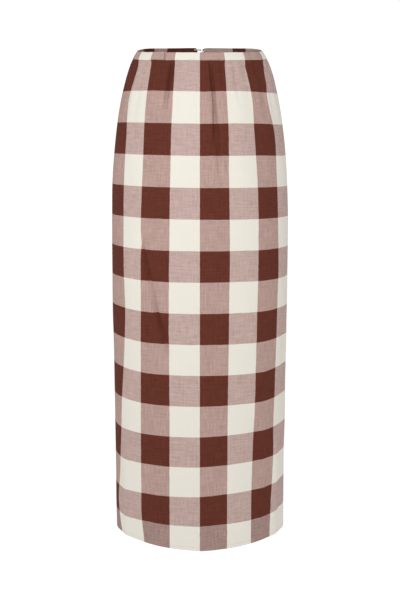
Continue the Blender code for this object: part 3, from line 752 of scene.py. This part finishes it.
# How strongly the yarns' unevenness shows
DASH = 0.34                # which yarn lies on top, in the mixed squares
MIXED_STREAK = 0.68        # the brown yarns' slubs there
CROSS_STREAK = 0.55        # the cream yarns' slubs there
DARK_STREAK = 0.62         # slubs in the brown squares
CREAM_STREAK = 0.05        # and in the cream ones
HEM_ROW = 15.0 * ROW       # the last row, whose mixed squares are made darker
HEM_ROW_BORDER = 0.001
HEM_ROW_SHADE = 0.22
PILLOW = 0.7               # relief of one crossing beside that of the slubs


def wave(tree, place, width):
    """A sine that swings once to one side over each width."""
    turned = add(tree, "Math", "MULTIPLY", in_0=place, in_1=math.pi / width)
    return add(tree, "Math", "SINE", in_0=turned)


def dark_stripes(tree, place, width):
    """1 on the dark stripes of a width, 0 on the light ones."""
    return add(tree, "MapRange", {"interpolation_type": "SMOOTHSTEP"}, Value=wave(tree, place, width),
               From_Min=-BORDER, From_Max=BORDER)


def yarn_places(tree, grid):
    """Where a point lies across and along the cloth; woven yarns stray a little."""
    cloud = add(tree, "TexNoise", Vector=grid, Scale=STRAY_SCALE, Detail=1.0)
    strayed = add(tree, "VectorMath", "MULTIPLY_ADD", in_0=cloud.outputs["Color"],
                  in_1=(2.0 * STRAY, 2.0 * STRAY, 0.0), in_2=grid)
    centred = add(tree, "VectorMath", "ADD", in_0=strayed, in_1=(-STRAY, -STRAY, 0.0))
    split = add(tree, "SeparateXYZ", in_0=centred)
    return split.outputs[0], split.outputs[1]


def slubs(tree, grid, across, along):
    """Thick and thin places along single yarns."""
    stretched = add(tree, "VectorMath", "MULTIPLY", in_0=grid, in_1=(across, along, 1.0))
    return add(tree, "TexNoise", Vector=stretched, Scale=1.0, Detail=3.0, Roughness=0.65)


def square_colour(tree, warp_dark, weft_dark):
    """The colour of each square, by the yarns that cross in it."""
    rows = []
    for over_cream, over_brown in ((CREAM, TAN), (ROSE, BROWN)):
        row = add(tree, "Mix", {"data_type": "RGBA"}, Factor=warp_dark, in_6=over_cream, in_7=over_brown)
        rows.append(row.outputs[2])
    return add(tree, "Mix", {"data_type": "RGBA"}, Factor=weft_dark, in_6=rows[0], in_7=rows[1]).outputs[2]


def mixed_slubs(tree, warp_dark, over_cream, over_brown, mixed):
    """Slubs in the mixed squares alone: one yarn's where the warp is cream, the other's where it is brown."""
    slub = add(tree, "Mix", Factor=warp_dark, in_2=over_cream, in_3=over_brown)
    centred = add(tree, "Math", "SUBTRACT", in_0=slub, in_1=0.5)
    return add(tree, "Math", "MULTIPLY", in_0=centred, in_1=mixed)


def yarn_shade(tree, along, warp_dark, weft_dark, crossing, warp_slub, weft_slub, slub_sum):
    """Light and dark of single yarns, and the darker mixed squares of the last row, which the squares' colour
    is multiplied by.
    """
    differ = add(tree, "Math", "SUBTRACT", in_0=warp_dark, in_1=weft_dark)
    mixed = add(tree, "Math", "ABSOLUTE", in_0=differ)
    on_top = add(tree, "MapRange", Value=crossing, From_Min=-YARN_BORDER, From_Max=YARN_BORDER)
    upper = add(tree, "Math", "SUBTRACT", in_0=on_top, in_1=0.5)
    dash = add(tree, "Math", "MULTIPLY", in_0=upper, in_1=differ)
    brown_slubs = mixed_slubs(tree, warp_dark, weft_slub, warp_slub, mixed)
    cream_slubs = mixed_slubs(tree, warp_dark, warp_slub, weft_slub, mixed)
    both = add(tree, "Math", "SUBTRACT", in_0=slub_sum, in_1=1.0)
    brown = add(tree, "Math", "MULTIPLY", in_0=warp_dark, in_1=weft_dark)
    depth = add(tree, "Math", "MULTIPLY_ADD", in_0=brown, in_1=DARK_STREAK - CREAM_STREAK, in_2=CREAM_STREAK)
    last_row = add(tree, "MapRange", Value=along, From_Min=HEM_ROW - HEM_ROW_BORDER,
                   From_Max=HEM_ROW + HEM_ROW_BORDER)
    hem = add(tree, "Math", "MULTIPLY", in_0=last_row, in_1=mixed)
    shade = 1.0
    for pattern, strength in ((dash, -DASH), (brown_slubs, -MIXED_STREAK), (cream_slubs, -CROSS_STREAK),
                              (both, depth), (hem, -HEM_ROW_SHADE)):
        shade = add(tree, "Math", "MULTIPLY_ADD", in_0=pattern, in_1=strength, in_2=shade)
    return shade


def gingham():
    """Gingham: plain-weave cotton, yarn-dyed, so its mixed squares show both yarns; matt, a faint nap."""
    made, tree, shader, grid = new_material("gingham_cotton_plain_weave", True)
    across, along = yarn_places(tree, grid)
    warp_dark = dark_stripes(tree, across, STRIPE)
    weft_dark = dark_stripes(tree, along, ROW)
    crossing = add(tree, "Math", "MULTIPLY", in_0=wave(tree, across, YARN), in_1=wave(tree, along, YARN))
    warp_slub = slubs(tree, grid, STREAK_ACROSS, STREAK_ALONG)
    weft_slub = slubs(tree, grid, STREAK_ALONG, STREAK_ACROSS)
    slub_sum = add(tree, "Math", "ADD", in_0=warp_slub, in_1=weft_slub)
    shade = yarn_shade(tree, along, warp_dark, weft_dark, crossing, warp_slub, weft_slub, slub_sum)
    colour = add(tree, "VectorMath", "SCALE", in_0=square_colour(tree, warp_dark, weft_dark), Scale=shade)
    # Yarn tops stand up; each crossing is a small pillow
    squared = add(tree, "Math", "MULTIPLY", in_0=crossing, in_1=crossing)
    pillow = add(tree, "Math", "MULTIPLY", in_0=squared, in_1=PILLOW)
    relief = add(tree, "Math", "ADD", in_0=pillow, in_1=slub_sum)
    bump = add(tree, "Bump", Strength=0.45, Distance=0.00025, Height=relief)
    fill(tree, shader, Base_Color=colour, Normal=bump, Roughness=0.90, Specular_IOR_Level=0.03,
         Sheen_Weight=0.01, Sheen_Roughness=0.60)
    return made


def two_tone(made, tree, shader, share, dark, light, **inputs):
    """Finishes a material whose colour runs between two close ones."""
    tint = add(tree, "Mix", {"data_type": "RGBA"}, Factor=share, in_6=dark, in_7=light)
    fill(tree, shader, Base_Color=tint.outputs[2], **inputs)
    return made


def tape_weave():
    """Polyester zip tape: a flat close twill, dyed brown to match, slightly smoother than the cotton."""
    made, tree, shader, grid = new_material("polyester_zip_tape_twill", True)
    rib = add(tree, "TexWave", {"bands_direction": "DIAGONAL"}, Vector=grid, Scale=260.0, Distortion=0.4,
              Detail=1.0).outputs["Fac"]
    bump = add(tree, "Bump", Strength=0.4, Distance=0.0002, Height=rib)
    return two_tone(made, tree, shader, rib, "#4a2922", "#6b4036", Normal=bump, Roughness=0.7)


def coil_nylon():
    """Nylon coil: drawn monofilament dyed brown, satin."""
    made, tree, shader, place = new_material("nylon_coil_monofilament")
    cloud = add(tree, "TexNoise", Vector=place, Scale=900.0, Detail=2.0)
    return two_tone(made, tree, shader, cloud, "#4c2b24", "#6e443a", Roughness=0.38)


def lacquered_zinc():
    """Zip slider and pull: zinc die casting under brown lacquer, satin, rubbed a little in places."""
    made, tree, shader, place = new_material("lacquered_zinc_die_cast")
    wear = add(tree, "TexNoise", Vector=place, Scale=1400.0, Detail=3.0)
    rubbed = add(tree, "MapRange", Value=wear, From_Min=0.52, From_Max=0.72)
    gloss = add(tree, "Math", "MULTIPLY_ADD", in_0=rubbed, in_1=-0.12, in_2=0.40)
    bump = add(tree, "Bump", Strength=0.12, Distance=0.0001, Height=wear)
    return two_tone(made, tree, shader, rubbed, "#4b2a23", "#7c564b", Roughness=gloss, Normal=bump,
                    Metallic=0.15)


def nickel_steel():
    """Hook and eye: drawn steel wire and pressed strip under bright nickel, finely drawn along its length."""
    made, tree, shader, place = new_material("nickel_plated_steel_wire")
    drawn = add(tree, "Mapping", Vector=place, Scale=(200.0, 6000.0, 6000.0))
    lines = add(tree, "TexNoise", Vector=drawn, Scale=1.0, Detail=2.0)
    gloss = add(tree, "Math", "MULTIPLY_ADD", in_0=lines, in_1=0.16, in_2=0.22)
    return two_tone(made, tree, shader, lines, "#d6d4ce", "#f4f2ec", Roughness=gloss, Metallic=0.60)


def sewing_thread(name, dark, light):
    """Spun polyester sewing thread, two plies twisted; the light that its plies catch is painted into its
    colour as small light dashes.
    """
    made, tree, shader, place = new_material(name)
    # Painted highlight: the diagonal bands make the plies' lit tops a lighter colour
    twist = add(tree, "TexWave", {"bands_direction": "DIAGONAL"}, Vector=place, Scale=900.0)
    return two_tone(made, tree, shader, twist.outputs["Fac"], dark, light, Roughness=0.65)


def paper_white():
    """Seamless studio paper: matt, almost white."""
    made, tree, shader, place = new_material("seamless_studio_paper")
    fibre = add(tree, "TexNoise", Vector=place, Scale=40.0, Detail=3.0)
    return two_tone(made, tree, shader, fibre, "#fdfdfc", "#ffffff", Roughness=0.95, Specular_IOR_Level=0.0,
                    Emission_Color="#ffffff", Emission_Strength=PAPER_GLOW)


# What repeats along a line

def repeat_tree(name, paint):
    """A node tree that sets rounded bars along a line. Its inputs are Pitch, Across, Along and Deep."""
    tree = bpy.data.node_groups.new(name, "GeometryNodeTree")
    tree.interface.new_socket("Geometry", in_out="INPUT", socket_type="NodeSocketGeometry")
    for size in ("Pitch", "Across", "Along", "Deep"):
        tree.interface.new_socket(size, in_out="INPUT", socket_type="NodeSocketFloat")
    tree.interface.new_socket("Geometry", in_out="OUTPUT", socket_type="NodeSocketGeometry")
    given = tree.nodes.new("NodeGroupInput").outputs
    curve = add(tree, "GeometryNodeMeshToCurve", in_0=given["Geometry"])
    spaced = add(tree, "GeometryNodeResampleCurve", {"mode": "LENGTH"}, Curve=curve, Length=given["Pitch"])
    bar = add(tree, "GeometryNodeMeshUVSphere", Segments=8, Rings=5, Radius=1.0)
    size = add(tree, "CombineXYZ", in_0=given["Across"], in_1=given["Along"], in_2=given["Deep"])
    tangent = add(tree, "GeometryNodeInputTangent")
    turned = add(tree, "FunctionNodeAlignEulerToVector", {"axis": "Y"}, Vector=tangent)
    bars = add(tree, "GeometryNodeInstanceOnPoints", Points=spaced, Instance=bar, Rotation=turned, Scale=size)
    real = add(tree, "GeometryNodeRealizeInstances", in_0=bars)
    painted = add(tree, "GeometryNodeSetMaterial", Geometry=real, Material=paint)
    add(tree, "NodeGroupOutput", in_0=painted)
    return tree


def repeated(name, lines, paint, sizes):
    """Bars along lines of points, as one plain mesh."""
    points, edges = [], []
    for line in lines:
        start = len(points)
        points += [tuple(p) for p in line]
        edges += [(i, i + 1) for i in range(start, len(points) - 1)]
    guide_mesh = bpy.data.meshes.new(name + "_line")
    guide_mesh.from_pydata(points, edges, [])
    guide = placed(name + "_line", guide_mesh)
    step = guide.modifiers.new("repeat", "NODES")
    step.node_group = repeat_tree(name + "_tree", paint)
    for socket in step.node_group.interface.items_tree:
        if socket.in_out == "INPUT" and socket.name in sizes:
            step[socket.identifier] = sizes[socket.name]
    bpy.context.view_layer.update()
    ready = guide.evaluated_get(bpy.context.evaluated_depsgraph_get())
    mesh = bpy.data.meshes.new_from_object(ready)
    mesh.shade_smooth()
    item = placed(name, mesh)
    bpy.data.objects.remove(guide, do_unlink=True)
    return item


def cloth_line(turns, heights, outward):
    """Points on the cloth's outer face, pushed outward by a distance."""
    place = cloth_points(turns, heights)
    around = cloth_points(turns + LINE_STEP, heights) - cloth_points(turns - LINE_STEP, heights)
    upward = cloth_points(turns, heights + LINE_STEP) - cloth_points(turns, heights - LINE_STEP)
    normal = np.cross(around, upward)
    return place + normal / np.linalg.norm(normal, axis=1, keepdims=True) * outward


def hem_lines():
    """Where the hem is stitched, one line for each panel."""
    lines = []
    for first, last in ((-1.0, 1.0), (1.0, 2.0), (-2.0, -1.0)):
        turns = np.linspace(first + HEM_STITCH_TURN, last - HEM_STITCH_TURN, HEM_STITCH_POINTS)
        lines.append(cloth_line(turns, hem_height(turns) + HEM_DEPTH - HEM_STITCH_UP, THREAD_PROUD))
    return lines


def ditch_lines():
    """Where the band is stitched down, in the groove under it."""
    lines = []
    for first, last in ((-DITCH_ENDS, LAP_TURN - DITCH_TURN), (LAP_TURN + DITCH_TURN, DITCH_ENDS)):
        turns = np.linspace(first, last, DITCH_POINTS)
        lines.append(cloth_line(turns, seam_height(turns) - SEAM_GAP / 2.0, THREAD_PROUD))
    return lines


def lap_lines():
    """The short bar that holds the lapped edge of the band."""
    turns = np.full(LAP_STITCH_POINTS, LAP_TURN - LAP_STITCH_TURN)
    heights = seam_height(turns) + np.linspace(*LAP_STITCH_HEIGHTS, LAP_STITCH_POINTS)
    return [cloth_line(turns, heights, BAND_PROUD + BAND_THICKNESS + BAND_BULGE)]


def sewn_lines():
    """Short wraps of thread that hold the eye's legs and the hook's foot on the band."""
    lines = []
    for node, side in (("eye", 1.0), ("hook", -1.0)):
        low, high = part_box(node)
        outer = high[0] if side > 0.0 else low[0]
        across = outer - side * np.linspace(SEWN_START, SEWN_LENGTH, SEWN_POINTS)
        depth = np.full(SEWN_POINTS, low[1] + WIRE_RADIUS)
        for height in (low[2] + WIRE_RADIUS, high[2] - WIRE_RADIUS):
            lines.append(np.stack([across, depth, np.full(SEWN_POINTS, height)], axis=1))
    return lines


def coil_lines():
    """The middles of the coil's turns on both sides, inside the centre back."""
    back = np.array([2.0])
    seam = seam_height(back)[0] - SEAM_GAP
    _, _, quarter = section_points(back, np.array([seam]))
    lines = []
    for side, shift in ((1.0, TOOTH_PITCH / 2.0), (-1.0, 0.0)):
        heights = np.linspace(seam - COIL_INSET[0] - shift, seam - ZIP_LENGTH + COIL_INSET[1], COIL_POINTS)
        turns = np.full(COIL_POINTS, 2.0) - side * TOOTH_SHIFT / quarter[0]
        lines.append(cloth_line(turns, heights, -COIL_DEPTH))
    return lines


# The cloth
cotton = gingham()
front = panel("front_panel_cloth", -1.0, 1.0, FRONT_STEPS, front_fabric, cotton)
back_left = panel("back_panel_left_cloth", 1.0, 2.0, BACK_STEPS, back_fabric, cotton)
back_right = panel("back_panel_right_cloth", -2.0, -1.0, BACK_STEPS, back_fabric, cotton)
band_left = waistband_left(cotton)
band_right = waistband_right(cotton)

# The closure
tape_paint = tape_weave()
near = ZIP_CHAIN_WIDTH / 2.0 + SEAM_GAP
tape_left = zip_tape("zip_tape_left_weave", ZIP_TAPE_WIDTH, near, tape_paint)
tape_right = zip_tape("zip_tape_right_weave", -near, -ZIP_TAPE_WIDTH, tape_paint)
nylon = coil_nylon()
for paint, nodes in ((lacquered_zinc(), ("zip_slider", "zip_pull")), (nickel_steel(), ("hook", "eye")),
                     (nylon, ("zip_chain",))):
    for node in nodes:
        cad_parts[node].data.materials.clear()
        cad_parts[node].data.materials.append(paint)

for piece, node, slot in (
        (front, "front_panel", "gingham_cloth"),
        (back_left, "back_panel_left", "gingham_cloth"),
        (back_right, "back_panel_right", "gingham_cloth"),
        (band_left, "waistband_left", "band_cloth"),
        (band_right, "waistband_right", "band_cloth"),
        (tape_left, "zip_tape_left", "zip_tape"),
        (tape_right, "zip_tape_right", "zip_tape")):
    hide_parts(node)
    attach(piece, "skirt")

# The sewing and the coil
# Each thread's second, lighter colour is the painted highlight on its plies
fawn = sewing_thread("spun_polyester_thread_fawn", "#a58b81", "#c9b5ab")
cream = sewing_thread("spun_polyester_thread_cream", "#cfc8ba", "#f3efe4")
brown = sewing_thread("spun_polyester_thread_brown", "#2e1712", "#5a352b")
stitch = {"Pitch": STITCH_PITCH, "Across": THREAD_RADIUS, "Along": STITCH_HALF_LENGTH, "Deep": THREAD_RADIUS}
tooth = {"Pitch": TOOTH_PITCH, "Across": TOOTH_ACROSS, "Along": TOOTH_RADIUS, "Deep": TOOTH_RADIUS}
wrap = {"Pitch": SEWN_PITCH, "Across": SEWN_REACH, "Along": SEWN_THICKNESS, "Deep": SEWN_REACH}
for name, lines, paint, sizes, slot in (
        ("hem_stitches", hem_lines(), fawn, stitch, "gingham_cloth"),
        ("waist_seam_stitches", ditch_lines(), brown, stitch, "band_cloth"),
        ("lap_bar_stitches", lap_lines(), brown, stitch, "band_cloth"),
        ("zip_coil_turns", coil_lines(), nylon, tooth, "zip_coil"),
        ("hook_and_eye_thread", sewn_lines(), cream, wrap, "band_cloth")):
    piece = repeated(name, lines, paint, sizes)
    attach(piece, "skirt")

# The studio: a seamless white sweep, soft light from the upper left
AMBIENT = 0.72
SEEN_WHITE = 1.10          # the world as the camera sees it
PAPER_GLOW = 0.34          # light thrown up through the paper, which keeps it white
FLOOR_LEVEL = -1.75
FLOOR_REACH = 14.0
SIDE_SHADE = 0.10          # dark flags at both sides, which round the column
SIDE_SHADE_POWER = 1.6
KEY_PLACE = (-0.50, -2.20, 0.55)
KEY_TARGET = (0.03, 0.0, -0.10)
KEY_SIZE = 0.7
KEY_POWER = 4.2
KEY_SPREAD = math.radians(80.0)    # a honeycomb grid keeps it off the hem
SIGHT = 60.0


def floor_sheet():
    mesh = bpy.data.meshes.new("studio_floor")
    corners = ((-1, -1), (1, -1), (1, 1), (-1, 1))
    places = [(x * FLOOR_REACH, y * FLOOR_REACH, FLOOR_LEVEL) for x, y in corners]
    mesh.from_pydata(places, [], [(0, 1, 2, 3)])
    mesh.materials.append(paper_white())
    item = placed("studio_floor", mesh)


def key_light():
    lamp = bpy.data.lights.new("key", "AREA")
    lamp.size = KEY_SIZE
    lamp.energy = KEY_POWER
    lamp.spread = KEY_SPREAD
    item = placed("key", lamp)
    item.location = KEY_PLACE
    item.rotation_euler = (Vector(KEY_TARGET) - Vector(KEY_PLACE)).to_track_quat("-Z", "Y").to_euler()


def camera():
    lens = bpy.data.cameras.new("camera")
    lens.sensor_width = SENSOR
    lens.lens = FOCAL_PIXELS * SENSOR / IMAGE_HEIGHT
    lens.clip_end = SIGHT
    item = placed("camera", lens)
    item.location = CAMERA_PLACE
    item.rotation_euler = (math.pi / 2.0 - CAMERA_PITCH, 0.0, 0.0)
    bpy.context.scene.camera = item


def white_world():
    """White behind the object, and a dimmer even light on it."""
    world = bpy.data.worlds.new("studio")
    world.use_nodes = True
    tree = world.node_tree
    seen = add(tree, "LightPath").outputs["Is Camera Ray"]
    toward = add(tree, "SeparateXYZ", in_0=add(tree, "TexCoord").outputs["Generated"])
    aside = add(tree, "Math", "ABSOLUTE", in_0=toward)
    side = add(tree, "Math", "POWER", in_0=aside, in_1=SIDE_SHADE_POWER)
    given = add(tree, "Math", "MULTIPLY_ADD", in_0=side, in_1=-AMBIENT * SIDE_SHADE, in_2=AMBIENT)
    strength = add(tree, "Mix", Factor=seen, in_2=given, in_3=SEEN_WHITE)
    fill(tree, tree.nodes["Background"], Strength=strength, Color="#ffffff")
    bpy.context.scene.world = world


floor_sheet()
key_light()
camera()
white_world()
bpy.context.scene.view_settings.view_transform = "Standard"
